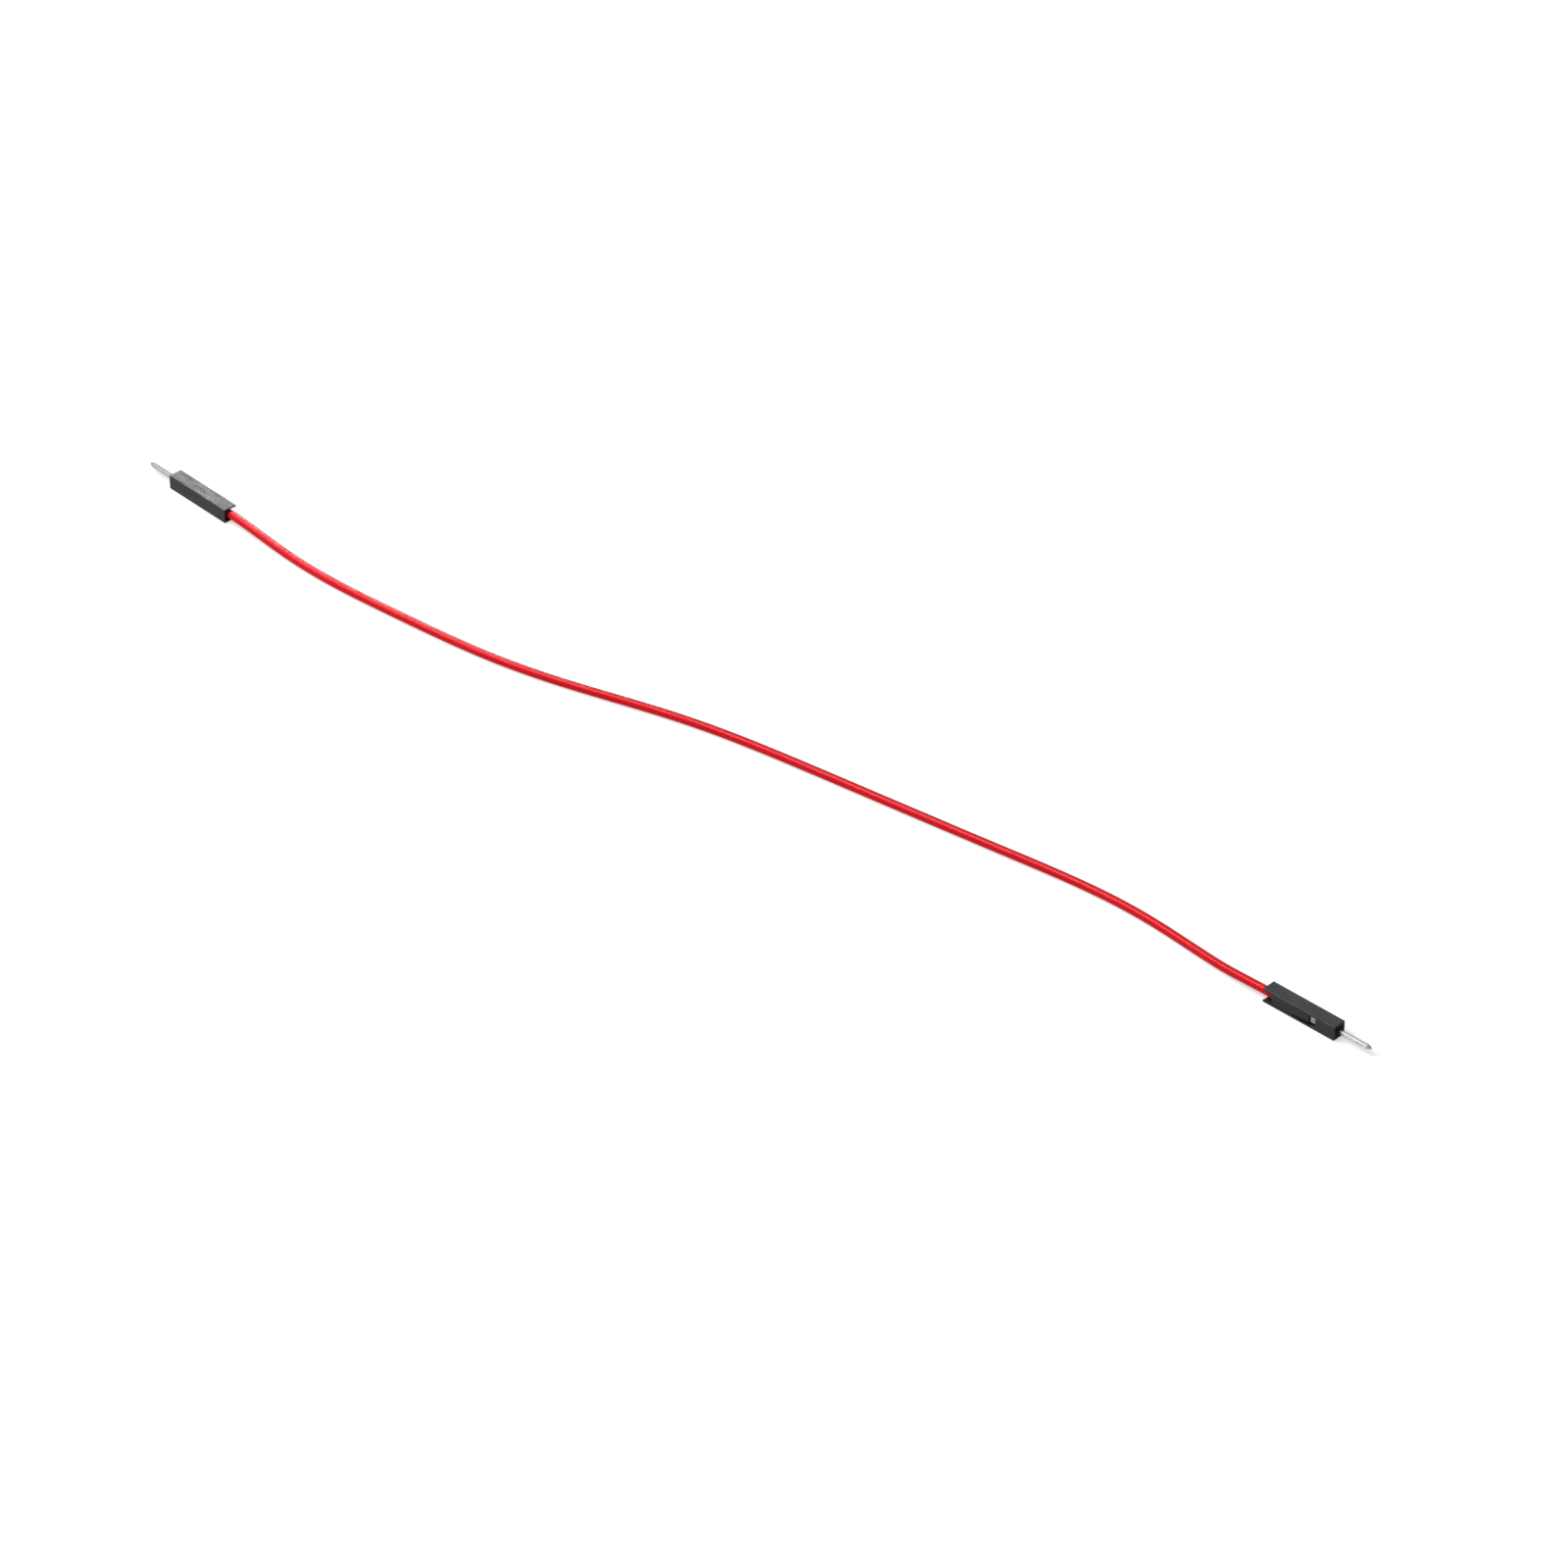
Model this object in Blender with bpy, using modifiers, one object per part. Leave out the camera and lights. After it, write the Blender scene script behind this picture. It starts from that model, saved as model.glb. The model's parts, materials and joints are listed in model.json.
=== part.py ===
"""Breadboard jumper wire: a red insulated lead with a single pin connector crimped on each end.

Metres, +Z up, lying on the plane z = 0 with the lead's chord along X. The origin is under the middle of the two ends.
"""

import math

import bmesh
import bpy
import numpy as np
from mathutils import Vector

MM = 0.001

# The insulated lead
WIRE_DIAMETER = 1.40 * MM
WIRE_BEVEL_RESOLUTION = 2
WIRE_POINTS = 78

# The stripped strands
BUNCH_DIAMETER = 0.60 * MM
BUNCH_LOBES = 6
LOBE_POINTS = 4
STRAND_LAY = 9.00 * MM
STRAND_RINGS = 14
STRAND_SETTLING = 0.10 * MM
STRAND_END_GAP = 0.05 * MM
STRAND_CREASE_ANGLE = math.radians(50.0)
BRUSH_LENGTH = 0.35 * MM

# The housing, a square tube that is closed round the pin at its mating face
HOUSING_LENGTH = 14.00 * MM
HOUSING_WALL = 0.28 * MM
HOUSING_EDGE = 0.10 * MM
HOUSING_EDGE_SEGMENTS = 2
FRONT_WALL = 1.20 * MM
LEAD_IN_RIM = 0.30 * MM
LEAD_IN_DEPTH = 0.70 * MM
PIN_HOLE_CLEARANCE = 0.13 * MM
CAVITY_CLEARANCE = 0.05 * MM
CUTTER_REACH = 0.50 * MM

# The sprung tongue in one wall, with its window and the two slots beside it
WINDOW_START = 3.70 * MM
WINDOW_LEDGE = 0.07 * MM
TONGUE_LENGTH = 3.10 * MM
TONGUE_SLOT = 0.23 * MM
TONGUE_THICKNESS = 0.20 * MM
TONGUE_ROOT_STEP = 0.06 * MM
TONGUE_TIP_STEP = 0.30 * MM
TONGUE_ROOT_OVERLAP = 0.40 * MM
CATCH_LENGTH = 0.35 * MM
CATCH_RAMP = 0.55 * MM
CATCH_DEPTH = 0.45 * MM
LATCH_CLEARANCE = 0.15 * MM

# The terminal, stamped from sheet: pin, nose, box, conductor crimp and insulation crimp, in this order
SHEET = 0.18 * MM
PIN_WIDTH = 0.64 * MM
PIN_REACH = 6.20 * MM
PIN_EDGE = 0.05 * MM
PIN_POINT_LENGTH = 0.75 * MM
PIN_POINT_WIDTH = 0.30 * MM
NOSE_CLEARANCE = 0.10 * MM
NOSE_LENGTH = 0.90 * MM
NOSE_SHOULDER = 0.06 * MM
NOSE_PLUG = 0.60 * MM
BOX_LENGTH = 2.80 * MM
BOX_SIDE_CLEARANCE = 0.17 * MM
BOX_HEADROOM = 0.25 * MM
BEND_RADIUS = 0.15 * MM
SEAM = 0.10 * MM
STRIP_WIDTH = 0.60 * MM
CONDUCTOR_NECK = 1.15 * MM
CONDUCTOR_CRIMP_LENGTH = 1.70 * MM
INSULATION_NECK = 1.30 * MM
INSULATION_CRIMP_LENGTH = 2.10 * MM
STRIPPED_EDGE = 0.20 * MM
CUT_OFF_TAB = 0.20 * MM
CRIMP_CLEARANCE = 0.04 * MM
WING_POINTS = 8
CONDUCTOR_FOLD_ANGLES = (math.radians(60.0), math.radians(90.0))
INSULATION_FOLD_ANGLE = math.radians(35.0)

# Where the two ends lie: the wire end of each housing, the way its pin points and the way its window faces
EXIT_X = 102.75 * MM
EXIT_Y = -0.40 * MM
LEFT_TURN = math.radians(171.0)
RIGHT_TURN = math.radians(-5.7)
WINDOW_ROLL = math.radians(90.0)

# The lead's route over the surface between the two exits: x and y in millimetres, and how far its middle is
# carried above where it would lie flat
ROUTE = [
    (-98.5, -1.08, 0.43),
    (-94.0, -1.85, 0.18),
    (-89.5, -2.70, 0.04),
    (-84.0, -3.60, 0.0),
    (-76.0, -4.40, 0.0),
    (-65.0, -4.80, 0.0),
    (-54.0, -4.95, 0.0),
    (-44.0, -4.65, 0.0),
    (-34.0, -3.55, 0.0),
    (-24.0, -1.75, 0.0),
    (-14.0, 0.20, 0.0),
    (-4.0, 1.60, 0.0),
    (8.0, 2.45, 0.0),
    (22.0, 3.00, 0.0),
    (36.0, 3.50, 0.0),
    (50.0, 4.05, 0.0),
    (61.0, 4.45, 0.0),
    (70.0, 4.35, 0.0),
    (79.0, 3.45, 0.0),
    (84.0, 2.60, 0.0),
    (89.5, 1.55, 0.04),
    (94.0, 0.70, 0.18),
    (98.5, 0.05, 0.43),
]

# Radii and levels across an end, measured from the middle of its pin
WIRE_RADIUS = WIRE_DIAMETER / 2
BUNCH_RADIUS = BUNCH_DIAMETER / 2
HALF_SHEET = SHEET / 2
INSULATION_CRIMP_RADIUS = WIRE_RADIUS + CRIMP_CLEARANCE + HALF_SHEET
CONDUCTOR_CRIMP_RADIUS = BUNCH_RADIUS + CRIMP_CLEARANCE + HALF_SHEET
FLOOR_Z = -INSULATION_CRIMP_RADIUS
BUNCH_Z = FLOOR_Z + CONDUCTOR_CRIMP_RADIUS
CAVITY_HALF = INSULATION_CRIMP_RADIUS + HALF_SHEET + CAVITY_CLEARANCE
HOUSING_HALF = CAVITY_HALF + HOUSING_WALL
BOX_SIDE = CAVITY_HALF - BOX_SIDE_CLEARANCE - HALF_SHEET
BOX_TOP = CAVITY_HALF - BOX_HEADROOM - HALF_SHEET
TONGUE_HALF = CAVITY_HALF - WINDOW_LEDGE - TONGUE_SLOT
PIN_HOLE_WIDTH = PIN_WIDTH + 2 * PIN_HOLE_CLEARANCE
LEAD_IN_WIDTH = 2 * (HOUSING_HALF - LEAD_IN_RIM)

# Places along an end, as distances behind its mating face
NOSE_TIP = FRONT_WALL + NOSE_CLEARANCE
BOX_START = NOSE_TIP + NOSE_LENGTH
BOX_END = BOX_START + BOX_LENGTH
TONGUE_TIP = BOX_END + LATCH_CLEARANCE
TONGUE_ROOT = TONGUE_TIP + TONGUE_LENGTH
CONDUCTOR_CRIMP_START = BOX_END + CONDUCTOR_NECK
CONDUCTOR_CRIMP_END = CONDUCTOR_CRIMP_START + CONDUCTOR_CRIMP_LENGTH
INSULATION_CRIMP_START = CONDUCTOR_CRIMP_END + INSULATION_NECK
INSULATION_CRIMP_END = INSULATION_CRIMP_START + INSULATION_CRIMP_LENGTH
INSULATION_END = INSULATION_CRIMP_START - STRIPPED_EDGE
STRANDS_START = INSULATION_END - STRAND_END_GAP
STRANDS_DOWN = CONDUCTOR_CRIMP_END + STRAND_SETTLING
STRANDS_END = CONDUCTOR_CRIMP_START - BRUSH_LENGTH


def from_face(distance):
    """The place along an end's own X of something at this distance behind the mating face."""
    return HOUSING_LENGTH - distance


def clear_scene():
    for thing in list(bpy.data.objects):
        bpy.data.objects.remove(thing)


def make_collection(name):
    collection = bpy.data.collections.new(name)
    bpy.context.scene.collection.children.link(collection)
    return collection


def make_material(name, colour, roughness, metallic):
    material = bpy.data.materials.new(name)
    material.use_nodes = True
    shader = material.node_tree.nodes["Principled BSDF"]
    shader.inputs["Base Color"].default_value = (*colour, 1.0)
    shader.inputs["Roughness"].default_value = roughness
    shader.inputs["Metallic"].default_value = metallic
    material.diffuse_color = (*colour, 1.0)
    return material


def add_mesh(name, bm, collection):
    """Turns a bmesh into an object of the collection."""
    mesh = bpy.data.meshes.new(name)
    bm.to_mesh(mesh)
    bm.free()
    thing = bpy.data.objects.new(name, mesh)
    collection.objects.link(thing)
    return thing


def add_box(name, low, high, collection):
    """A box between two corners, made from the cube primitive."""
    bm = bmesh.new()
    bmesh.ops.create_cube(bm, size=1.0)
    low = Vector(low)
    high = Vector(high)
    bmesh.ops.scale(bm, vec=high - low, verts=bm.verts)
    bmesh.ops.translate(bm, vec=(low + high) / 2, verts=bm.verts)
    return add_mesh(name, bm, collection)


def add_loft(name, rings, collection):
    """A closed solid through rings of as many points each, with flat ends."""
    bm = bmesh.new()
    rows = [[bm.verts.new(point) for point in ring] for ring in rings]
    count = len(rows[0])
    for row, following in zip(rows, rows[1:]):
        for i in range(count):
            j = (i + 1) % count
            bm.faces.new((row[i], row[j], following[j], following[i]))
    bm.faces.new(rows[0])
    bm.faces.new(rows[-1])
    bmesh.ops.recalc_face_normals(bm, faces=bm.faces)
    return add_mesh(name, bm, collection)


def square_ring(x, width):
    """Four points round a square across X."""
    half = width / 2
    return [(x, half, -half), (x, half, half), (x, -half, half), (x, -half, -half)]


def block_ring(x, half_y, low_z, high_z, corner):
    """Eight points round a rectangle across X, with its corners cut off."""
    return [
        (x, half_y - corner, low_z),
        (x, half_y, low_z + corner),
        (x, half_y, high_z - corner),
        (x, half_y - corner, high_z),
        (x, corner - half_y, high_z),
        (x, -half_y, high_z - corner),
        (x, -half_y, low_z + corner),
        (x, corner - half_y, low_z),
    ]


def add_boolean(thing, operation, other):
    modifier = thing.modifiers.new(other.name, "BOOLEAN")
    modifier.operation = operation
    modifier.solver = "EXACT"
    modifier.object = other


def make_helper(helper, end):
    """A cutter or a joined-in shape goes with its end and isn't a piece by itself."""
    helper.parent = end
    helper.hide_render = True
    helper.display_type = "WIRE"
    return helper


# The housing


def make_housing(side, end, parts, helpers, material):
    """A square tube closed at the mating end, with a hole for the pin and a sprung tongue in one wall."""
    body = add_box(
        "housing_" + side,
        (0.0, -HOUSING_HALF, -HOUSING_HALF),
        (HOUSING_LENGTH, HOUSING_HALF, HOUSING_HALF),
        parts,
    )
    body.parent = end
    body.data.materials.append(material)
    edges = body.modifiers.new("moulded edges", "BEVEL")
    edges.width = HOUSING_EDGE
    edges.segments = HOUSING_EDGE_SEGMENTS
    cutters = [
        add_box(
            "cavity_" + side,
            (-CUTTER_REACH, -CAVITY_HALF, -CAVITY_HALF),
            (from_face(FRONT_WALL), CAVITY_HALF, CAVITY_HALF),
            helpers,
        ),
        make_pin_hole(side, helpers),
        add_box(
            "window_" + side,
            (from_face(TONGUE_ROOT), -TONGUE_HALF - TONGUE_SLOT, 0.0),
            (from_face(WINDOW_START), TONGUE_HALF + TONGUE_SLOT, HOUSING_HALF + CUTTER_REACH),
            helpers,
        ),
    ]
    for cutter in cutters:
        add_boolean(body, "DIFFERENCE", make_helper(cutter, end))
    add_boolean(body, "UNION", make_helper(make_tongue(side, helpers), end))
    return body


def make_pin_hole(side, helpers):
    """The cutter for the square hole in the mating face, with its sloped lead-in."""
    flare = (LEAD_IN_WIDTH - PIN_HOLE_WIDTH) * CUTTER_REACH / LEAD_IN_DEPTH
    rings = [
        square_ring(from_face(FRONT_WALL + CUTTER_REACH), PIN_HOLE_WIDTH),
        square_ring(from_face(LEAD_IN_DEPTH), PIN_HOLE_WIDTH),
        square_ring(from_face(-CUTTER_REACH), LEAD_IN_WIDTH + flare),
    ]
    return add_loft("pin_hole_" + side, rings, helpers)


def make_tongue(side, helpers):
    """The sprung tongue: rooted in the wall, sinking towards its tip, with a catch that drops behind the box."""
    root = from_face(TONGUE_ROOT + TONGUE_ROOT_OVERLAP)
    tip = from_face(TONGUE_TIP)
    root_top = HOUSING_HALF - TONGUE_ROOT_STEP
    tip_top = HOUSING_HALF - TONGUE_TIP_STEP
    tip_under = tip_top - TONGUE_THICKNESS
    catch_under = tip_under - CATCH_DEPTH
    profile = [
        (root, root_top),
        (tip, tip_top),
        (tip, catch_under),
        (tip - CATCH_LENGTH, catch_under),
        (tip - CATCH_LENGTH - CATCH_RAMP, tip_under),
        (root, root_top - TONGUE_THICKNESS),
    ]
    rings = [[(x, y, z) for x, z in profile] for y in (-TONGUE_HALF, TONGUE_HALF)]
    return add_loft("tongue_" + side, rings, helpers)


# The terminal


def box_wing():
    """Mid-surface points of one half of the box, from the strip round to the seam on top."""
    cut = BEND_RADIUS * (1 - math.sqrt(0.5))
    return [
        (BOX_SIDE - BEND_RADIUS, FLOOR_Z),
        (BOX_SIDE - cut, FLOOR_Z + cut),
        (BOX_SIDE, FLOOR_Z + BEND_RADIUS),
        (BOX_SIDE, BOX_TOP - BEND_RADIUS),
        (BOX_SIDE - cut, BOX_TOP - cut),
        (BOX_SIDE - BEND_RADIUS, BOX_TOP),
        (STRIP_WIDTH / 2, BOX_TOP),
        (SEAM / 2, BOX_TOP),
    ]


def conductor_wing():
    """One half of the conductor crimp: round the bunch, up its side and curled over onto it."""
    tip = HALF_SHEET + CRIMP_CLEARANCE
    curl = (CONDUCTOR_CRIMP_RADIUS - tip) / 2
    curl_z = BUNCH_Z + BUNCH_RADIUS + CRIMP_CLEARANCE
    points = []
    for angle in CONDUCTOR_FOLD_ANGLES:
        y = CONDUCTOR_CRIMP_RADIUS * math.sin(angle)
        points.append((y, BUNCH_Z - CONDUCTOR_CRIMP_RADIUS * math.cos(angle)))
    for angle in np.linspace(0.0, math.pi, WING_POINTS - len(points)):
        points.append((tip + curl + curl * math.cos(angle), curl_z + curl * math.sin(angle)))
    return points


def insulation_wing():
    """One half of the insulation crimp, wrapped round the lead until the two tips almost meet."""
    last = math.pi - SEAM / 2 / INSULATION_CRIMP_RADIUS
    return [
        (INSULATION_CRIMP_RADIUS * math.sin(angle), -INSULATION_CRIMP_RADIUS * math.cos(angle))
        for angle in np.linspace(INSULATION_FOLD_ANGLE, last, WING_POINTS)
    ]


def add_sheet(name, bands, parts):
    """A strip of sheet that runs the whole way, with wings folded up from both its edges within some bands.

    A band is its two distances behind the mating face and the points of one wing, which has none on the bare strip.
    """
    bm = bmesh.new()
    edge = STRIP_WIDTH / 2
    strips = {}
    for start, end, wing in bands:
        rows = []
        for distance in (start, end):
            x = from_face(distance)
            if distance not in strips:
                strips[distance] = [bm.verts.new((x, y, FLOOR_Z)) for y in (-edge, 0.0, edge)]
            left = [bm.verts.new((x, -y, z)) for y, z in reversed(wing)]
            right = [bm.verts.new((x, y, z)) for y, z in wing]
            rows.append(left + strips[distance] + right)
        front, back = rows
        for i in range(len(front) - 1):
            bm.faces.new((front[i], front[i + 1], back[i + 1], back[i]))
    bmesh.ops.recalc_face_normals(bm, faces=bm.faces)
    sheet = add_mesh(name, bm, parts)
    thickness = sheet.modifiers.new("sheet thickness", "SOLIDIFY")
    thickness.thickness = SHEET
    thickness.offset = 0.0
    thickness.use_even_offset = True
    return sheet


def make_pin(side, helpers):
    """The square pin with its tapered point, widening through the nose into a plug that fills the box's mouth."""
    half_pin = PIN_WIDTH / 2
    half_nose = half_pin + NOSE_SHOULDER
    half_point = PIN_POINT_WIDTH / 2
    plug = (BOX_SIDE, FLOOR_Z, BOX_TOP, BEND_RADIUS)
    rings = [
        block_ring(from_face(BOX_START + NOSE_PLUG), *plug),
        block_ring(from_face(BOX_START), *plug),
        block_ring(from_face(NOSE_TIP), half_nose, -half_nose, half_nose, PIN_EDGE),
        block_ring(from_face(NOSE_TIP - NOSE_SHOULDER), half_pin, -half_pin, half_pin, PIN_EDGE),
        block_ring(from_face(PIN_POINT_LENGTH - PIN_REACH), half_pin, -half_pin, half_pin, PIN_EDGE),
        block_ring(from_face(-PIN_REACH), half_point, -half_point, half_point, PIN_EDGE),
    ]
    return add_loft("pin_" + side, rings, helpers)


def make_terminal(side, end, parts, helpers, material):
    """The folded sheet with its solid pin, joined where the box is drawn down to the pin."""
    bands = [
        (BOX_START, BOX_END, box_wing()),
        (BOX_END, CONDUCTOR_CRIMP_START, []),
        (CONDUCTOR_CRIMP_START, CONDUCTOR_CRIMP_END, conductor_wing()),
        (CONDUCTOR_CRIMP_END, INSULATION_CRIMP_START, []),
        (INSULATION_CRIMP_START, INSULATION_CRIMP_END, insulation_wing()),
        (INSULATION_CRIMP_END, INSULATION_CRIMP_END + CUT_OFF_TAB, []),
    ]
    terminal = add_sheet("terminal_" + side, bands, parts)
    terminal.parent = end
    terminal.data.materials.append(material)
    add_boolean(terminal, "UNION", make_helper(make_pin(side, helpers), end))
    return terminal


# The stripped strands


def bunch_reach(angle):
    """How far the outline of six strands laid round a seventh lies from the middle."""
    lobe = 2 * math.pi / BUNCH_LOBES
    off = (angle + lobe / 2) % lobe - lobe / 2
    strand = BUNCH_RADIUS / 3
    middle = 2 * strand
    inside = max(strand**2 - (middle * math.sin(off)) ** 2, 0.0)
    return middle * math.cos(off) + math.sqrt(inside)


def make_strands(side, end, parts, material):
    """The twisted strands, leaving the insulation on the axis and dropping into the conductor crimp."""
    rings = []
    for distance in np.linspace(STRANDS_START, STRANDS_END, STRAND_RINGS):
        share = min((STRANDS_START - distance) / (STRANDS_START - STRANDS_DOWN), 1.0)
        drop = BUNCH_Z * (3 * share**2 - 2 * share**3)
        twist = 2 * math.pi * distance / STRAND_LAY
        ring = []
        for angle in np.linspace(0.0, 2 * math.pi, LOBE_POINTS * BUNCH_LOBES, endpoint=False):
            reach = bunch_reach(angle)
            y = reach * math.cos(angle + twist)
            z = drop + reach * math.sin(angle + twist)
            ring.append((from_face(distance), y, z))
        rings.append(ring)
    strands = add_loft("strands_" + side, rings, parts)
    strands.parent = end
    strands.data.materials.append(material)
    strands.data.shade_smooth()
    strands.data.set_sharp_from_angle(angle=STRAND_CREASE_ANGLE)
    return strands


# The lead


def smooth_curve(points, count):
    """Evenly spread points on the natural cubic spline through the given points."""
    points = np.array(points)
    steps = np.linalg.norm(np.diff(points, axis=0), axis=1)
    knots = np.concatenate([[0.0], np.cumsum(steps)])
    size = len(points)
    matrix = np.eye(size)
    turns = np.zeros((size, 3))
    for i in range(1, size - 1):
        before = steps[i - 1]
        after = steps[i]
        matrix[i, i - 1 : i + 2] = (before, 2 * (before + after), after)
        turns[i] = 6 * ((points[i + 1] - points[i]) / after - (points[i] - points[i - 1]) / before)
    bends = np.linalg.solve(matrix, turns)
    samples = []
    for place in np.linspace(0.0, knots[-1], count):
        i = min(int(np.searchsorted(knots, place, side="right")) - 1, size - 2)
        step = steps[i]
        near = (knots[i + 1] - place) / step
        far = (place - knots[i]) / step
        point = near * points[i] + far * points[i + 1]
        point += ((near**3 - near) * bends[i] + (far**3 - far) * bends[i + 1]) * step**2 / 6
        samples.append(point)
    return samples


def make_wire(left, right, parts, material):
    """The insulated lead: out of one crimp, down onto the surface, along it and up into the other crimp.

    The spline may swing a little below the surface where it levels out, so its middle is kept a radius above it.
    """
    inside = from_face(INSULATION_END)
    points = [left.matrix_world @ Vector((x, 0.0, 0.0)) for x in (inside, inside / 2, 0.0)]
    points += [Vector((x * MM, y * MM, WIRE_RADIUS + lift * MM)) for x, y, lift in ROUTE]
    points += [right.matrix_world @ Vector((x, 0.0, 0.0)) for x in (0.0, inside / 2, inside)]
    samples = smooth_curve(points, WIRE_POINTS)
    for sample in samples:
        sample[2] = max(sample[2], WIRE_RADIUS)
    curve = bpy.data.curves.new("insulated_wire", "CURVE")
    curve.dimensions = "3D"
    curve.bevel_depth = WIRE_RADIUS
    curve.bevel_resolution = WIRE_BEVEL_RESOLUTION
    curve.use_fill_caps = True
    spline = curve.splines.new("POLY")
    spline.points.add(len(samples) - 1)
    for point, sample in zip(spline.points, samples):
        point.co = (*sample, 1.0)
    curve.materials.append(material)
    wire = bpy.data.objects.new("insulated_wire", curve)
    parts.objects.link(wire)
    return wire


def make_end(side, x, turn, parts, helpers, materials):
    """One connector, built along its own +X from the wire end of the housing, and laid down in its place."""
    end = bpy.data.objects.new("end_" + side, None)
    end.location = (x, EXIT_Y, HOUSING_HALF)
    end.rotation_euler = (WINDOW_ROLL, 0.0, turn)
    parts.objects.link(end)
    make_housing(side, end, parts, helpers, materials["housing"])
    make_terminal(side, end, parts, helpers, materials["terminal"])
    make_strands(side, end, parts, materials["conductor"])
    return end


def main():
    clear_scene()
    parts = make_collection("breadboard jumper wire")
    helpers = make_collection("cutters and joined shapes")
    materials = {
        "housing": make_material("black moulded housing", (0.024, 0.024, 0.027), 0.55, 0.0),
        "terminal": make_material("tin-plated terminal", (0.72, 0.71, 0.68), 0.25, 1.0),
        "conductor": make_material("tinned copper strands", (0.70, 0.66, 0.60), 0.35, 1.0),
        "insulation": make_material("red insulation", (0.76, 0.010, 0.018), 0.30, 0.0),
    }
    left = make_end("left", -EXIT_X, LEFT_TURN, parts, helpers, materials)
    right = make_end("right", EXIT_X, RIGHT_TURN, parts, helpers, materials)
    bpy.context.view_layer.update()
    make_wire(left, right, parts, materials["insulation"])


main()
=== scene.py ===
# %% [markdown]
# # A breadboard jumper wire
# This lead joins two sockets on a solderless breadboard. It is a soft red wire with a small black housing
# on each end, and a square metal pin stands out of each housing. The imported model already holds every
# piece at its real size, so this script doesn't decide where anything goes. It makes a finer copy of each
# piece in the same place, gives each one the finish of its real material, and lights it on a white table.

# %% Load the frame
import json
import math

import bmesh
import bpy
import numpy as np
from mathutils import Matrix, Vector, noise


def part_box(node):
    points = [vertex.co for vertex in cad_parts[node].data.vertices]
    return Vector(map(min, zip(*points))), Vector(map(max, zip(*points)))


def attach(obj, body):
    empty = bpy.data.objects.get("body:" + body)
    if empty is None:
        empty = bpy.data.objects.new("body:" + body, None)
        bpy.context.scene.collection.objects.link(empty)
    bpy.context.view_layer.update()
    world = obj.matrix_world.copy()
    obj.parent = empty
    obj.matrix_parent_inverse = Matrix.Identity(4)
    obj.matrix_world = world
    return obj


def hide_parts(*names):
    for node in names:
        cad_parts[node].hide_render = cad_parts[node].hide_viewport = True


MM = 0.001

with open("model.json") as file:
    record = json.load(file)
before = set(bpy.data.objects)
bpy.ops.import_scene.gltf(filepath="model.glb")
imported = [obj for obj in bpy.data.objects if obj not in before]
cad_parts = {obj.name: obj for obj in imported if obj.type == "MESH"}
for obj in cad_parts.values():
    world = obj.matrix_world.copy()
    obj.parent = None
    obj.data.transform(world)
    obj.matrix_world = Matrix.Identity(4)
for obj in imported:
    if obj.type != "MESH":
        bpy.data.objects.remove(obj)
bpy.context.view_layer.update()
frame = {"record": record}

# %% [markdown]
# ## Finding the two ends
# A connector is easiest to make lying straight along X, in millimetres, with its wire end at zero. On the
# real lead the two lie at different angles. The record's mounts say where each pin's tip is and which way
# it points, so a matrix worked out from them carries a straight connector to its place. A typed angle
# would be right only until the model changes.

# %% Work out where each end lies
HOUSING_LENGTH = 14.00
PIN_REACH = 6.20
WINDOW_ROLL = math.radians(90.0)

mounts = {mount["name"]: mount for mount in frame["record"]["mounts"]}
ends = {}
for side in ("left", "right"):
    tip = mounts[side + "_pin_tip"]
    outward = Vector(tip["axis"])
    wire_end = Vector(tip["pos_m"]) - outward * (HOUSING_LENGTH + PIN_REACH) * MM
    turn = math.atan2(outward.y, outward.x)
    standing = Matrix.Rotation(turn, 4, "Z") @ Matrix.Rotation(WINDOW_ROLL, 4, "X")
    ends[side] = Matrix.Translation(wire_end) @ standing
    starts_at = [round(value / MM, 2) for value in wire_end]
    print(side, "end starts at", starts_at, "turned", round(math.degrees(turn), 1))

housing_low, housing_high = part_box("housing_left")
HOUSING_HALF = (housing_high.z - housing_low.z) / 2 / MM
print("housing is", round(2 * HOUSING_HALF, 3), "mm across")

# %% [markdown]
# ## The camera
# The lead was seen from well above and a little to the right, through a long lens that hardly narrows the
# far end. Azimuth and elevation are those of the view, and the distance and the lens together set the size
# in the picture. The camera comes first; the cord's route was measured against what it sees.

# %% Place the camera
CAMERA_AZIMUTH = math.radians(38.1)
CAMERA_ELEVATION = math.radians(36.0)
CAMERA_DISTANCE = 1.250
CAMERA_TARGET = Vector((0.01248, -0.00222, 0.0))
CAMERA_LENS = 185.625
NEAREST_SEEN = 0.01
IMAGE_WIDTH = 1600

towards_camera = Vector((
    math.sin(CAMERA_AZIMUTH) * math.cos(CAMERA_ELEVATION),
    -math.cos(CAMERA_AZIMUTH) * math.cos(CAMERA_ELEVATION),
    math.sin(CAMERA_ELEVATION),
))
camera_data = bpy.data.cameras.new("camera")
camera_data.lens = CAMERA_LENS
camera_data.clip_start = NEAREST_SEEN
camera = bpy.data.objects.new("camera", camera_data)
camera.location = CAMERA_TARGET + towards_camera * CAMERA_DISTANCE
camera.rotation_euler = towards_camera.to_track_quat("Z", "Y").to_euler()
bpy.context.scene.collection.objects.link(camera)
bpy.context.scene.camera = camera
pixels_per_mm = CAMERA_LENS / camera_data.sensor_width * IMAGE_WIDTH / (CAMERA_DISTANCE / MM)
print("the picture shows", round(pixels_per_mm, 2), "pixels to the millimetre")

# %% [markdown]
# ## Colours and nodes
# Colours are picked off a screen as sRGB hex values, but shaders add up light, which is linear. One
# function turns the first into the second. The others add a node with its settings and feed its inputs,
# each with a plain value or with another node's output. So each material below reads as a list of what it
# is made of.

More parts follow.
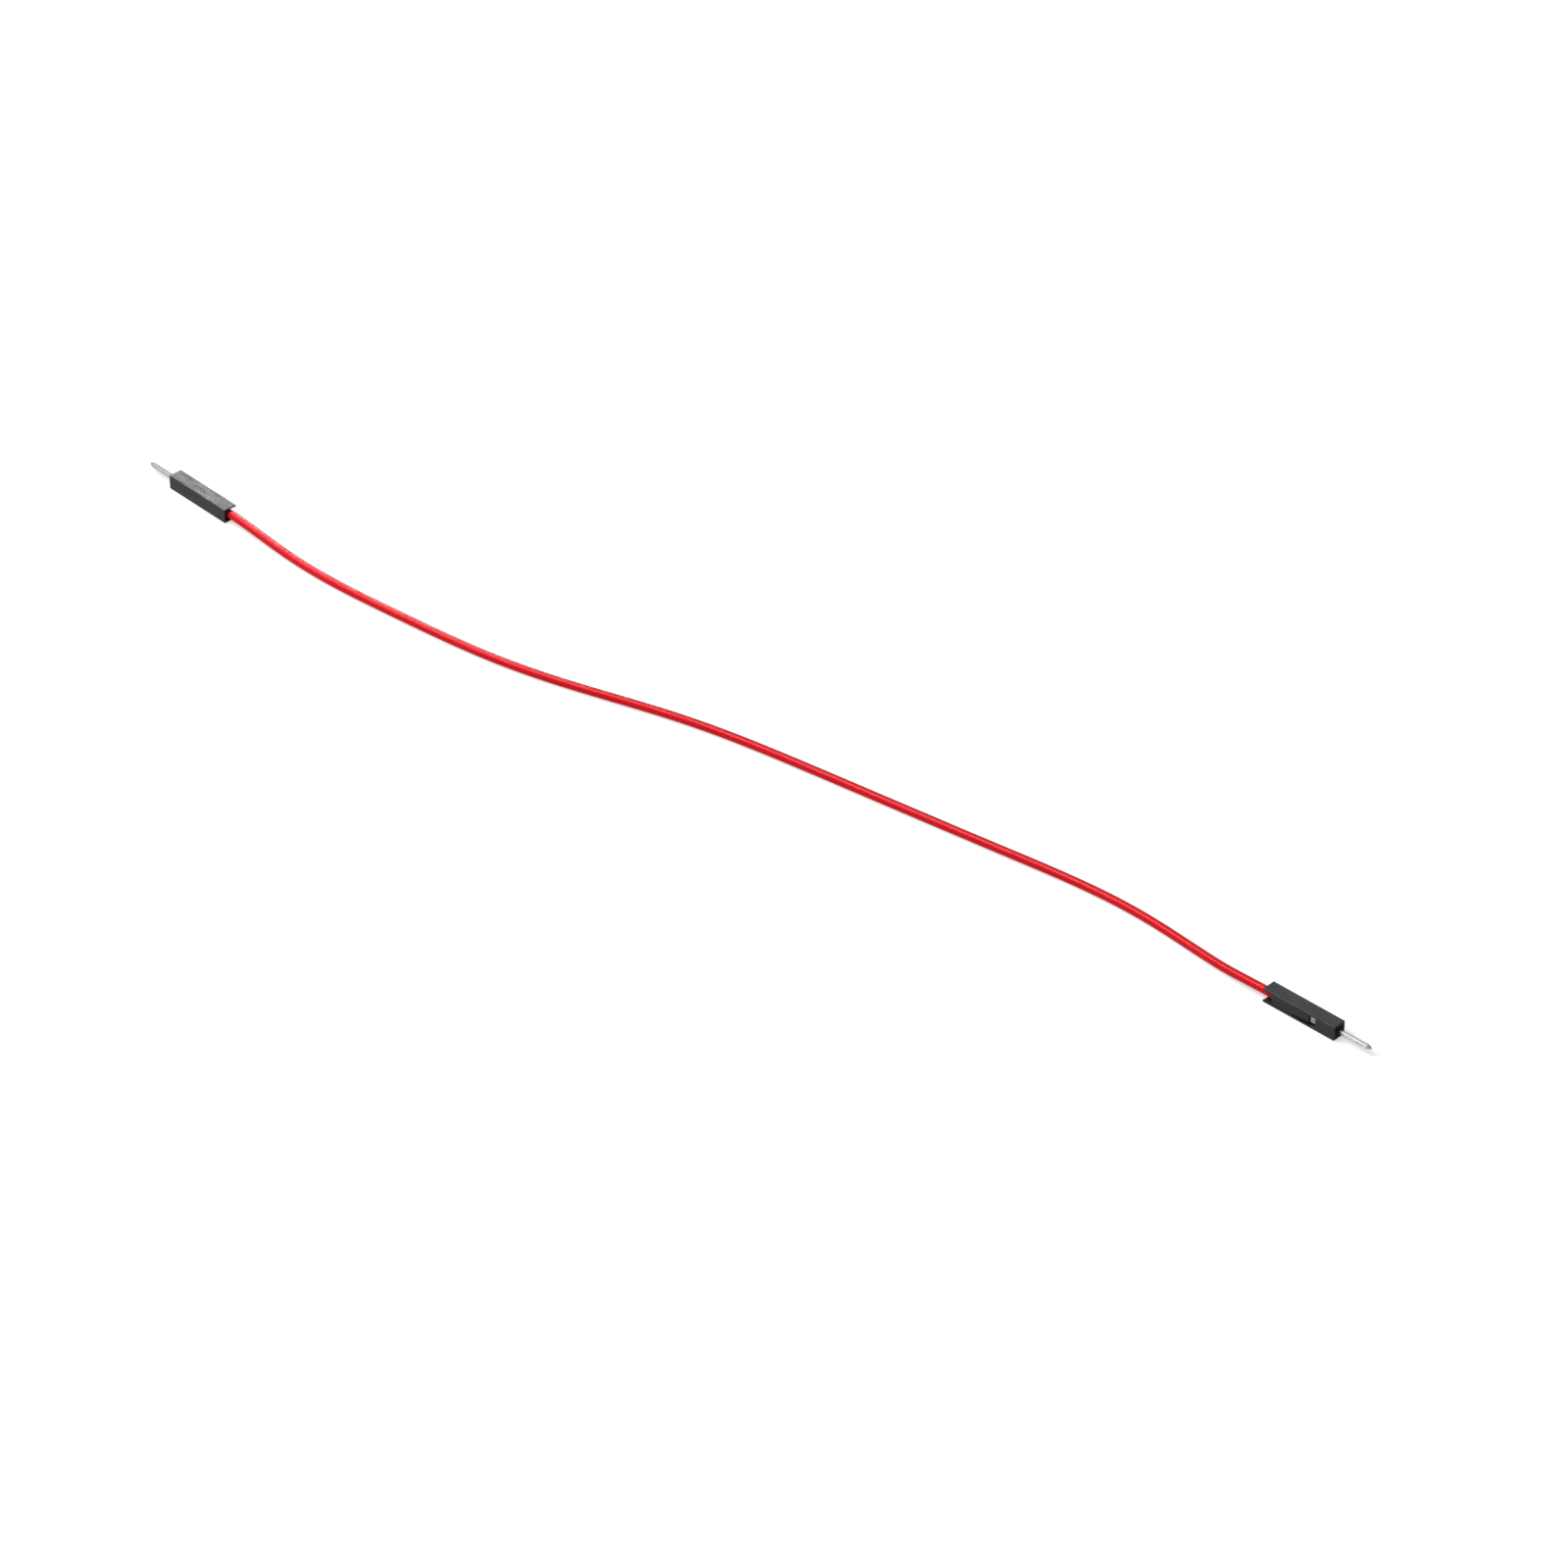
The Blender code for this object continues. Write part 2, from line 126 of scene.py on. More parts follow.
# %% Make the colour and node helpers
def linear(hex_colour):
    """An sRGB hex colour such as D0142A as the linear values that a shader takes, with full alpha."""
    channels = [int(hex_colour[i : i + 2], 16) / 255 for i in (0, 2, 4)]
    return [c / 12.92 if c <= 0.04045 else ((c + 0.055) / 1.055) ** 2.4 for c in channels] + [1.0]


def feed(tree, node, inputs):
    """Sets each input of a node to a value, or links it if the value is another node's output."""
    for name, value in inputs.items():
        if isinstance(value, bpy.types.NodeSocket):
            tree.links.new(value, node.inputs[name])
        else:
            node.inputs[name].default_value = value


def add_node(tree, kind, settings, inputs):
    """Adds one node, with its settings and what feeds it."""
    node = tree.nodes.new(kind)
    for name, value in settings.items():
        setattr(node, name, value)
    feed(tree, node, inputs)
    return node


def calculate(tree, operation, *numbers):
    """A step of arithmetic on up to three numbers or outputs of other nodes."""
    inputs = dict(enumerate(numbers))
    return add_node(tree, "ShaderNodeMath", {"operation": operation}, inputs).outputs[0]


def new_material(name):
    """An empty material with its shader, which is returned with the tree."""
    material = bpy.data.materials.new(name)
    material.use_nodes = True
    tree = material.node_tree
    return material, tree, tree.nodes["Principled BSDF"]


print("a mid grey is", round(linear("808080")[0], 3), "of full light")

# %% [markdown]
# ## Patterns at a real size
# Every pattern below is given in millimetres. For that, each piece keeps, on every point, where that point
# was when the piece was made straight and in millimetres. The shader reads it back by name. A streak then
# runs along its own housing however the housing lies, and a texture's scale is simply how many of its
# features fit in a millimetre.

# %% Make the pattern helpers
MADE_AT = "made_at_mm"
# How many finer and finer copies of itself a pattern adds.
PLAIN = 1.0
SOFT = 2.0
LIVELY = 3.0
BUSY = 5.0
# Nearly all of a pattern's values lie in this range.
PATTERN_RANGE = (0.3, 0.7)


def place_made(tree):
    """Where a point was when its piece was made."""
    return add_node(tree, "ShaderNodeAttribute", {"attribute_name": MADE_AT}, {}).outputs["Vector"]


def pattern(tree, size, detail, stretch=1.0):
    """A cloudy pattern of features this large. A stretch under one draws them out along the piece."""
    place = place_made(tree)
    drawn_out = add_node(
        tree, "ShaderNodeVectorMath", {"operation": "MULTIPLY"}, {0: place, 1: (stretch, 1.0, 1.0)}
    )
    inputs = {"Vector": drawn_out.outputs[0], "Scale": 1 / size, "Detail": detail}
    return add_node(tree, "ShaderNodeTexNoise", {}, inputs).outputs["Fac"]


def rescale(tree, value, seen, wanted):
    """Turns one range of values into another, and stops at its ends."""
    inputs = {"Value": value}
    inputs.update(zip(("From Min", "From Max"), seen))
    inputs.update(zip(("To Min", "To Max"), wanted))
    return add_node(tree, "ShaderNodeMapRange", {}, inputs).outputs["Result"]


def blend(tree, share, first, second):
    """One sRGB colour that turns into another."""
    inputs = {"Factor": share, "A": linear(first), "B": linear(second)}
    return add_node(tree, "ShaderNodeMix", {"data_type": "RGBA"}, inputs).outputs["Result"]


def emboss(tree, height, strength, depth):
    """A relief in the light alone, this many millimetres deep."""
    inputs = {"Height": height, "Strength": strength, "Distance": depth * MM}
    return add_node(tree, "ShaderNodeBump", {}, inputs).outputs["Normal"]


print("patterns are placed by", MADE_AT)

# %% [markdown]
# ## Shapes from blocks and rings
# A block is a box between two corners, and boxes cut out of a box make what a mould makes. A skin joins a
# row of rings, and that makes what is drawn, rolled or twisted. The other helpers finish a piece. They round
# its edges, shade it, carry it to its place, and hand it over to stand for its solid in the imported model.

# %% Make the mesh helpers
def add_object(name, bm):
    """Turns a bmesh into an object of the scene."""
    mesh = bpy.data.meshes.new(name)
    bm.to_mesh(mesh)
    bm.free()
    thing = bpy.data.objects.new(name, mesh)
    bpy.context.scene.collection.objects.link(thing)
    return thing


def block(name, low, high):
    """A box between two corners."""
    bm = bmesh.new()
    bmesh.ops.create_cube(bm, size=1.0)
    low = Vector(low)
    high = Vector(high)
    bmesh.ops.scale(bm, vec=high - low, verts=bm.verts)
    bmesh.ops.translate(bm, vec=(low + high) / 2, verts=bm.verts)
    return add_object(name, bm)


def skin(bm, rows):
    """Faces from each ring of points to the next, with both ends closed."""
    count = len(rows[0])
    for row, following in zip(rows, rows[1:]):
        for i in range(count):
            j = (i + 1) % count
            bm.faces.new((row[i], row[j], following[j], following[i]))
    bm.faces.new(rows[0])
    bm.faces.new(rows[-1])


def loft(name, rings):
    """A closed solid through rings of as many points each."""
    bm = bmesh.new()
    skin(bm, [[bm.verts.new(point) for point in ring] for ring in rings])
    bmesh.ops.recalc_face_normals(bm, faces=bm.faces)
    return add_object(name, bm)


def settle(thing):
    """Turns a piece's modifiers into plain mesh."""
    evaluated = thing.evaluated_get(bpy.context.evaluated_depsgraph_get())
    mesh = bpy.data.meshes.new_from_object(evaluated)
    thing.modifiers.clear()
    thing.data = mesh


def combine(thing, operation, other):
    """Cuts another shape out of a piece, or joins it on, and takes the other shape away."""
    modifier = thing.modifiers.new(operation, "BOOLEAN")
    modifier.operation = operation
    modifier.solver = "EXACT"
    modifier.object = other
    settle(thing)
    bpy.data.objects.remove(other)


def ease_edges(thing, width, segments, angle):
    """Rounds every edge that is sharper than an angle."""
    modifier = thing.modifiers.new("eased edges", "BEVEL")
    modifier.width = width
    modifier.segments = segments
    modifier.limit_method = "ANGLE"
    modifier.angle_limit = angle
    modifier.miter_outer = "MITER_ARC"
    settle(thing)


def shade(thing, crease):
    """Smooth shading that breaks at a crease and keeps large flat faces flat up to their rounded edges."""
    thing.data.shade_smooth()
    thing.data.set_sharp_from_angle(angle=crease)
    modifier = thing.modifiers.new("flat faces", "WEIGHTED_NORMAL")
    modifier.keep_sharp = True
    settle(thing)


def lay_down(thing, place):
    """Keeps where each point was made, and carries the piece to its place in metres."""
    points = np.empty(len(thing.data.vertices) * 3, np.float32)
    thing.data.vertices.foreach_get("co", points)
    thing.data.attributes.new(MADE_AT, "FLOAT_VECTOR", "POINT").data.foreach_set("vector", points)
    thing.data.transform(place @ Matrix.Scale(MM, 4))


def hand_over(thing, node, material):
    """Lets a finished piece stand for its CAD node."""
    thing.data.materials.clear()
    thing.data.materials.append(material)
    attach(thing, "root")
    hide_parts(node)
    print(thing.name, "stands for", node, "with", len(thing.data.polygons), "faces")


# %% [markdown]
# ## The route of the lead
# A soft wire never turns a corner. It leaves its housing straight, sinks to the table over a centimetre or
# so, and lies in one long lazy curve. The route is therefore a row of points with a natural cubic spline
# through them, which bends as a thin springy strip would. The third number of a point says how far the
# wire's middle is above where it would lie flat.

# %% Draw the route
WIRE_RADIUS = 0.70
INSULATION_END = 8.95
LEAD_RINGS = 900
ROUTE = [
    (-0.0985, -0.00108, 0.00043),
    (-0.0940, -0.00185, 0.00018),
    (-0.0895, -0.00270, 0.00004),
    (-0.0840, -0.00360, 0.0),
    (-0.0760, -0.00440, 0.0),
    (-0.0650, -0.00480, 0.0),
    (-0.0540, -0.00495, 0.0),
    (-0.0440, -0.00465, 0.0),
    (-0.0340, -0.00355, 0.0),
    (-0.0240, -0.00175, 0.0),
    (-0.0140, 0.00020, 0.0),
    (-0.0040, 0.00160, 0.0),
    (0.0080, 0.00245, 0.0),
    (0.0220, 0.00300, 0.0),
    (0.0360, 0.00350, 0.0),
    (0.0500, 0.00405, 0.0),
    (0.0610, 0.00445, 0.0),
    (0.0700, 0.00435, 0.0),
    (0.0790, 0.00345, 0.0),
    (0.0840, 0.00260, 0.0),
    (0.0895, 0.00155, 0.00004),
    (0.0940, 0.00070, 0.00018),
    (0.0985, 0.00005, 0.00043),
]


def smooth_curve(points, count):
    """Evenly spread points on the natural cubic spline through the given points."""
    points = np.array(points)
    steps = np.linalg.norm(np.diff(points, axis=0), axis=1)
    knots = np.concatenate([[0.0], np.cumsum(steps)])
    size = len(points)
    matrix = np.eye(size)
    turns = np.zeros((size, 3))
    # Each inner point adds one equation, by which the curve has the same slope on both sides of it.
    for i in range(1, size - 1):
        before = steps[i - 1]
        after = steps[i]
        matrix[i, i - 1 : i + 2] = (before, 2 * (before + after), after)
        turns[i] = 6 * ((points[i + 1] - points[i]) / after - (points[i] - points[i - 1]) / before)
    bends = np.linalg.solve(matrix, turns)
    samples = []
    for place in np.linspace(0.0, knots[-1], count):
        i = min(int(np.searchsorted(knots, place, side="right")) - 1, size - 2)
        step = steps[i]
        near = (knots[i + 1] - place) / step
        far = (place - knots[i]) / step
        point = near * points[i] + far * points[i + 1]
        point += ((near**3 - near) * bends[i] + (far**3 - far) * bends[i + 1]) * step**2 / 6
        samples.append(point)
    return np.array(samples)


inside = (HOUSING_LENGTH - INSULATION_END) * MM
route = [ends["left"] @ Vector((x, 0.0, 0.0)) for x in (inside, inside / 2, 0.0)]
route += [Vector((x, y, WIRE_RADIUS * MM + lift)) for x, y, lift in ROUTE]
route += [ends["right"] @ Vector((x, 0.0, 0.0)) for x in (0.0, inside / 2, inside)]
lead_line = smooth_curve(route, LEAD_RINGS)
lead_line[:, 2] = np.maximum(lead_line[:, 2], WIRE_RADIUS * MM)
lead_steps = np.linalg.norm(np.diff(lead_line, axis=0), axis=1)
lead_length = float(lead_steps.sum())
print("the insulation is", round(lead_length / MM, 1), "mm long")

# %% [markdown]
# ## The insulated lead
# The insulation is plasticised PVC, squeezed hot round the copper through a die. The die can't hold its
# size perfectly, so the thickness drifts by about a hundredth of a millimetre. A curve with a bevel would be
# quicker, but a tube made ring by ring can drift like that, and can keep how far along and round it each
# point is for the patterns of its surface.

# %% Sweep the lead
LEAD_SIDES = 32
THICKNESS_DRIFT = 0.012
DRIFT_LENGTH = 7.0
TUBE_CREASE = math.radians(50.0)

tangents = np.gradient(lead_line, axis=0)
tangents /= np.linalg.norm(tangents, axis=1)[:, None]
along = np.concatenate([[0.0], np.cumsum(lead_steps)]) / MM

bm = bmesh.new()
made_at = bm.verts.layers.float_vector.new(MADE_AT)
rows = []
for centre, tangent, distance in zip(lead_line, tangents, along):
    across = np.cross(tangent, (0.0, 0.0, 1.0))
    across /= np.linalg.norm(across)
    upward = np.cross(across, tangent)
    drift = (noise.noise((distance / DRIFT_LENGTH, 0.0, 0.0)) + 1) / 2
    radius = WIRE_RADIUS - THICKNESS_DRIFT * drift
    row = []
    for angle in np.linspace(0.0, 2 * math.pi, LEAD_SIDES, endpoint=False):
        out = (math.cos(angle) * radius, math.sin(angle) * radius)
        vertex = bm.verts.new(centre + (across * out[0] + upward * out[1]) * MM)
        vertex[made_at] = (distance, out[0], out[1])
        row.append(vertex)
    rows.append(row)
skin(bm, rows)
bmesh.ops.recalc_face_normals(bm, faces=bm.faces)
lead = add_object("insulated_lead", bm)
shade(lead, TUBE_CREASE)
print("the lead has", len(lead.data.polygons), "faces")

# %% [markdown]
# ## Red PVC
# Plasticised PVC comes out of the die glossy and slightly waxy. Light enters it a little way and comes back
# redder, which a touch of subsurface scattering gives. Its index of refraction is typically 1.53, and 1.45
# with a reddish tint in the mirrored light matched the lead better, whose highlight is a paler red and not
# white. The die leaves fine lines along the wire. The real ones are a few hundredths of a millimetre wide,
# and they are drawn at a quarter of a millimetre here so that they show. The twisted copper inside pushes
# its six outer strands very slightly through the soft wall, so a shallow helix runs under the gloss.

# %% Make the red PVC
PVC_RED = "E60A1E"
PVC_DEEP_RED = "D40818"
PVC_IOR = 1.45
PVC_TINT = (1.0, 0.42, 0.44, 1.0)
PVC_SCATTERED_SHARE = 0.15
PVC_SCATTER_DEPTH = 0.4
PVC_COLOUR_DEPTHS = (1.0, 0.2, 0.15)
PVC_GLOSS = (0.26, 0.40)
PIGMENT_CLOUD = 9.0
SCUFF_SIZE = 1.6
SCUFFED = (0.45, 0.75)
DIE_LINE_WIDTH = 0.25
DIE_LINE_STRETCH = 0.03
DIE_LINE_STRENGTH = 0.30
DIE_LINE_DEPTH = 0.005
OUTER_STRANDS = 6
STRAND_LAY = 9.0
HELIX_SHARE = 0.30

red_pvc, tree, shader = new_material("red plasticised PVC")
clouds = pattern(tree, PIGMENT_CLOUD, SOFT)
scuffs = pattern(tree, SCUFF_SIZE, BUSY)
die_lines = pattern(tree, DIE_LINE_WIDTH, SOFT, DIE_LINE_STRETCH)
split = add_node(tree, "ShaderNodeSeparateXYZ", {}, {"Vector": place_made(tree)}).outputs
around = calculate(tree, "ARCTAN2", split["Z"], split["Y"])
lobes = calculate(tree, "MULTIPLY", around, OUTER_STRANDS)
twist = calculate(tree, "MULTIPLY_ADD", split["X"], 2 * math.pi * OUTER_STRANDS / STRAND_LAY, lobes)
helix = calculate(tree, "SINE", twist)
relief = calculate(tree, "MULTIPLY_ADD", helix, HELIX_SHARE, die_lines)
feed(tree, shader, {
    "Base Color": blend(tree, clouds, PVC_RED, PVC_DEEP_RED),
    "Roughness": rescale(tree, scuffs, SCUFFED, PVC_GLOSS),
    "Normal": emboss(tree, relief, DIE_LINE_STRENGTH, DIE_LINE_DEPTH),
    "IOR": PVC_IOR,
    "Specular Tint": PVC_TINT,
    "Subsurface Weight": PVC_SCATTERED_SHARE,
    "Subsurface Radius": PVC_COLOUR_DEPTHS,
    "Subsurface Scale": PVC_SCATTER_DEPTH * MM,
})
print("red PVC has", len(tree.nodes), "nodes")

# %% [markdown]
# ## The lead takes the wire's place
# The finished lead stands for the imported wire, in red PVC. Its length free between the two housings is
# worked out and printed.

hand_over(lead, "insulated_wire", red_pvc)
free_length = lead_length - 2 * inside
print("free between the housings:", round(free_length / MM, 1), "mm")

# %% [markdown]
# ## Sizes across an end
# The sizes below are the connector's own, in millimetres. Places along it are counted back from the mating
# face, because that is how such a connector is drawn: everything in it is held against that face.

# %% Name the sizes
SHEET = 0.18
HALF_SHEET = SHEET / 2
CRIMP_CLEARANCE = 0.04
CAVITY_CLEARANCE = 0.05
BUNCH_RADIUS = 0.30
INSULATION_CRIMP_RADIUS = WIRE_RADIUS + CRIMP_CLEARANCE + HALF_SHEET
CONDUCTOR_CRIMP_RADIUS = BUNCH_RADIUS + CRIMP_CLEARANCE + HALF_SHEET
CAVITY_HALF = INSULATION_CRIMP_RADIUS + HALF_SHEET + CAVITY_CLEARANCE
FLOOR = -INSULATION_CRIMP_RADIUS
BUNCH_MIDDLE = FLOOR + CONDUCTOR_CRIMP_RADIUS

FRONT_WALL = 1.20
NOSE_TIP = 1.30
BOX_START = 2.20
BOX_END = 5.00
WINDOW_START = 3.70
TONGUE_TIP = 5.15
TONGUE_ROOT = 8.25
CONDUCTOR_CRIMP_START = 6.15
CONDUCTOR_CRIMP_END = 7.85
INSULATION_CRIMP_START = 9.15
INSULATION_CRIMP_END = 11.25


def from_face(distance):
    """The place along an end of something at this distance behind its mating face."""
    return HOUSING_LENGTH - distance


print("walls of the housing are", round(HOUSING_HALF - CAVITY_HALF, 2), "mm thick")

# %% [markdown]
# ## The housing
# The housing is injection-moulded nylon, one square tube with a closed mating end. A tongue in one wall
# springs behind the terminal's box and holds it. Two slots free the tongue, and a window before its tip lets
# the bright metal show. The same wall is notched at the wire end, so that the crimped lead slides in easily,
# and a shallow channel joins the notch to the tongue. Cutting boxes out of a block follows the way the
# mould's cores leave those spaces. No moulded edge is sharp, so the last step eases them all, which is also
# what makes them catch the light.

# %% Mould the housings
OUTER_EDGE = 0.12
OUTER_SEGMENTS = 4
OUTER_CORNER = math.radians(60.0)
EDGE_ROUND = 0.022
EDGE_SEGMENTS = 2
MOULDED_CORNER = math.radians(40.0)
MOULDED_CREASE = math.radians(35.0)
MOUTH_CHAMFER = 0.07
NOTCH_LENGTH = 1.70
CHANNEL_DEPTH = 0.12
TONGUE_HALF = 0.67
TONGUE_SLOT = 0.23
TONGUE_THICKNESS = 0.20
TONGUE_SINK = 0.30
CATCH_LENGTH = 0.35
CATCH_RAMP = 0.55
CATCH_DEPTH = 0.45
PIN_HOLE = 0.45
LEAD_IN = 0.95
LEAD_IN_DEPTH = 0.70
REACH = 0.50


def square(x, half):
    """Four points round a square across X."""
    return [(x, half, -half), (x, half, half), (x, -half, half), (x, -half, -half)]


def tongue_shape():
    """The tongue, rooted in the wall and sinking to its tip, where the catch hangs below it."""
    root = from_face(TONGUE_ROOT + 2 * TONGUE_THICKNESS)
    tip = from_face(TONGUE_TIP)
    top = HOUSING_HALF - TONGUE_SINK
    under = top - TONGUE_THICKNESS
    rest = HOUSING_HALF - CHANNEL_DEPTH
    profile = [
        (root, rest),
        (tip, top),
        (tip, under - CATCH_DEPTH),
        (tip - CATCH_LENGTH, under - CATCH_DEPTH),
        (tip - CATCH_LENGTH - CATCH_RAMP, under),
        (root, rest - TONGUE_THICKNESS),
    ]
    return loft("tongue", [[(x, y, z) for x, z in profile] for y in (-TONGUE_HALF, TONGUE_HALF)])


def mould_housing(side):
    """One housing, made straight and in millimetres."""
    body = block(
        "housing_moulding_" + side,
        (0.0, -HOUSING_HALF, -HOUSING_HALF),
        (HOUSING_LENGTH, HOUSING_HALF, HOUSING_HALF),
    )
    ease_edges(body, OUTER_EDGE, OUTER_SEGMENTS, OUTER_CORNER)
    half_window = TONGUE_HALF + TONGUE_SLOT
    flare = (LEAD_IN - PIN_HOLE) * REACH / LEAD_IN_DEPTH
    cuts = [
        block(
            "cavity",
            (-REACH, -CAVITY_HALF, -CAVITY_HALF),
            (from_face(FRONT_WALL), CAVITY_HALF, CAVITY_HALF),
        ),
        loft(
            "mouth",
            [
                square(-MOUTH_CHAMFER, CAVITY_HALF + 2 * MOUTH_CHAMFER),
                square(MOUTH_CHAMFER, CAVITY_HALF),
            ],
        ),
        loft(
            "pin_hole",
            [
                square(from_face(FRONT_WALL + REACH), PIN_HOLE),
                square(from_face(LEAD_IN_DEPTH), PIN_HOLE),
                square(from_face(-REACH), LEAD_IN + flare),
            ],
        ),
        block(
            "window",
            (from_face(TONGUE_ROOT), -half_window, 0.0),
            (from_face(WINDOW_START), half_window, HOUSING_HALF + REACH),
        ),
        block(
            "channel",
            (NOTCH_LENGTH - REACH, -half_window, HOUSING_HALF - CHANNEL_DEPTH),
            (from_face(TONGUE_ROOT) + REACH, half_window, HOUSING_HALF + REACH),
        ),
        block("notch", (-REACH, -half_window, 0.0), (NOTCH_LENGTH, half_window, HOUSING_HALF + REACH)),
    ]
    for cut in cuts:
        combine(body, "DIFFERENCE", cut)
    combine(body, "UNION", tongue_shape())
    ease_edges(body, EDGE_ROUND, EDGE_SEGMENTS, MOULDED_CORNER)
    shade(body, MOULDED_CREASE)
    return body


housings = {side: mould_housing(side) for side in ends}
for side, housing in housings.items():
    print(side, "housing has", len(housing.data.vertices), "points")

# %% [markdown]
# ## Black nylon
# Glass-filled nylon comes out of the mould satin black. The mould was ground along its length, and every
# housing copies those grinding marks as fine streaks, so a face that catches a lamp looks brushed. The real
# marks are a few hundredths of a millimetre apart, and they are drawn at about a fifth of a millimetre so
# that they show. A larger mottle shows where the glass fibres lie nearer the surface.

# %% Make the black nylon
NYLON_BLACK = "19191B"
NYLON_GREY = "29292B"
NYLON_IOR = 1.53
NYLON_GLOSS = (0.34, 0.58)
STREAK_WIDTH = 0.20
STREAK_STRETCH = 0.06
STREAK_STRENGTH = 0.5
STREAK_DEPTH = 0.02
MOTTLE_SIZE = 0.9
GRAIN_SIZE = 0.12
GRAIN_SHARE = 0.35

black_nylon, tree, shader = new_material("black moulded nylon")
mottle = pattern(tree, MOTTLE_SIZE, LIVELY)
grain = pattern(tree, GRAIN_SIZE, PLAIN)
streaks = pattern(tree, STREAK_WIDTH, LIVELY, STREAK_STRETCH)
relief = calculate(tree, "MULTIPLY_ADD", grain, GRAIN_SHARE, streaks)
feed(tree, shader, {
    "Base Color": blend(tree, mottle, NYLON_BLACK, NYLON_GREY),
    "Roughness": rescale(tree, streaks, PATTERN_RANGE, NYLON_GLOSS),
    "Normal": emboss(tree, relief, STREAK_STRENGTH, STREAK_DEPTH),
    "IOR": NYLON_IOR,
})

for side, housing in housings.items():
    lay_down(housing, ends[side])
    hand_over(housing, "housing_" + side, black_nylon)

# %% [markdown]
# ## The terminal
# A terminal starts as a flat blank, stamped from brass strip about 0.2 mm thick and already tinned. Press
# tools then fold it: a square box in front, one pair of small wings curled onto the bare copper, and one
# pair wrapped round the insulation. Drawing one side of each fold as a line of points, and giving the open
# sheet a thickness afterwards, is how the press sees it. The pin in front is the same strip rolled to a
# square and closed, so it is made as a solid with its seam as a groove.

# %% Fold the sheet
STRIP_HALF = 0.30
BOX_SIDE = 0.71
BOX_TOP = 0.63
BEND_RADIUS = 0.15
SEAM = 0.10
CUT_OFF_TAB = 0.20
FOLD_POINTS = 6
WRAP_POINTS = 22
# Where a wing's curve leaves the flat strip, in degrees from the side.
CRADLE_START = -38
WRAP_START = -58


def arc(y, z, radius, first, last, count):
    """Points on an arc about a middle, from one angle in degrees to another."""
    angles = np.radians(np.linspace(first, last, count))
    return [(y + radius * math.cos(angle), z + radius * math.sin(angle)) for angle in angles]


def box_wing():
    """One half of the box, from the strip round to the seam on top."""
    middle = BOX_SIDE - BEND_RADIUS
    lower = arc(middle, FLOOR + BEND_RADIUS, BEND_RADIUS, -90, 0, FOLD_POINTS)
    upper = arc(middle, BOX_TOP - BEND_RADIUS, BEND_RADIUS, 0, 90, FOLD_POINTS)
    return lower + upper + [(SEAM / 2, BOX_TOP)]


def conductor_wing():
    """One half of the conductor crimp: round the bunch, up its side and curled down onto it."""
    tip = HALF_SHEET + CRIMP_CLEARANCE
    curl = (CONDUCTOR_CRIMP_RADIUS - tip) / 2
    curl_height = BUNCH_MIDDLE + BUNCH_RADIUS + CRIMP_CLEARANCE
    cradle = arc(0.0, BUNCH_MIDDLE, CONDUCTOR_CRIMP_RADIUS, CRADLE_START, 0, FOLD_POINTS)
    return cradle + arc(tip + curl, curl_height, curl, 0, 180, 2 * FOLD_POINTS)


def insulation_wing():
    """One half of the insulation crimp, wrapped round the lead until the two tips almost meet."""
    last = 90 - math.degrees(SEAM / 2 / INSULATION_CRIMP_RADIUS)
    return arc(0.0, 0.0, INSULATION_CRIMP_RADIUS, WRAP_START, last, WRAP_POINTS)


def fold_sheet(name):
    """The whole folded strip, in bands that each have a start, an end and the wing that they carry."""
    bands = [
        (BOX_START, BOX_END, box_wing()),
        (BOX_END, CONDUCTOR_CRIMP_START, []),
        (CONDUCTOR_CRIMP_START, CONDUCTOR_CRIMP_END, conductor_wing()),
        (CONDUCTOR_CRIMP_END, INSULATION_CRIMP_START, []),
        (INSULATION_CRIMP_START, INSULATION_CRIMP_END, insulation_wing()),
        (INSULATION_CRIMP_END, INSULATION_CRIMP_END + CUT_OFF_TAB, []),
    ]
    bm = bmesh.new()
    strips = {}
    for start, end, wing in bands:
        rows = []
        for distance in (start, end):
            x = from_face(distance)
            if distance not in strips:
                strips[distance] = [bm.verts.new((x, y, FLOOR)) for y in (-STRIP_HALF, 0.0, STRIP_HALF)]
            left = [bm.verts.new((x, -y, z)) for y, z in reversed(wing)]
            right = [bm.verts.new((x, y, z)) for y, z in wing]
            rows.append(left + strips[distance] + right)
        front, back = rows
        for i in range(len(front) - 1):
            bm.faces.new((front[i], front[i + 1], back[i + 1], back[i]))
    bmesh.ops.recalc_face_normals(bm, faces=bm.faces)
    sheet = add_object(name, bm)
    thickness = sheet.modifiers.new("sheet thickness", "SOLIDIFY")
    thickness.thickness = SHEET
    thickness.offset = 0.0
    thickness.use_even_offset = True
    settle(sheet)
    return sheet


sheets = {side: fold_sheet("crimp_terminal_" + side) for side in ends}
print("one folded sheet has", len(sheets["left"].data.vertices), "points")

# %% [markdown]
# ## The pin
# A pin is 0.64 mm square, the size that every 2.54 mm socket grips. Its corners are rolled, not cut, so they
# are round, and its point is squeezed to a blunt taper that finds the hole. Rings of points along it follow
# those sizes, and the groove of the closed seam is four points in each ring that sink where the seam is
# open.

# %% Roll the pins
PIN_HALF = 0.32
PIN_CORNER = 0.07
PIN_SEAM = 0.035
PIN_SEAM_DEPTH = 0.05
SEAM_CLOSES = 0.15
POINT_LENGTH = 0.75
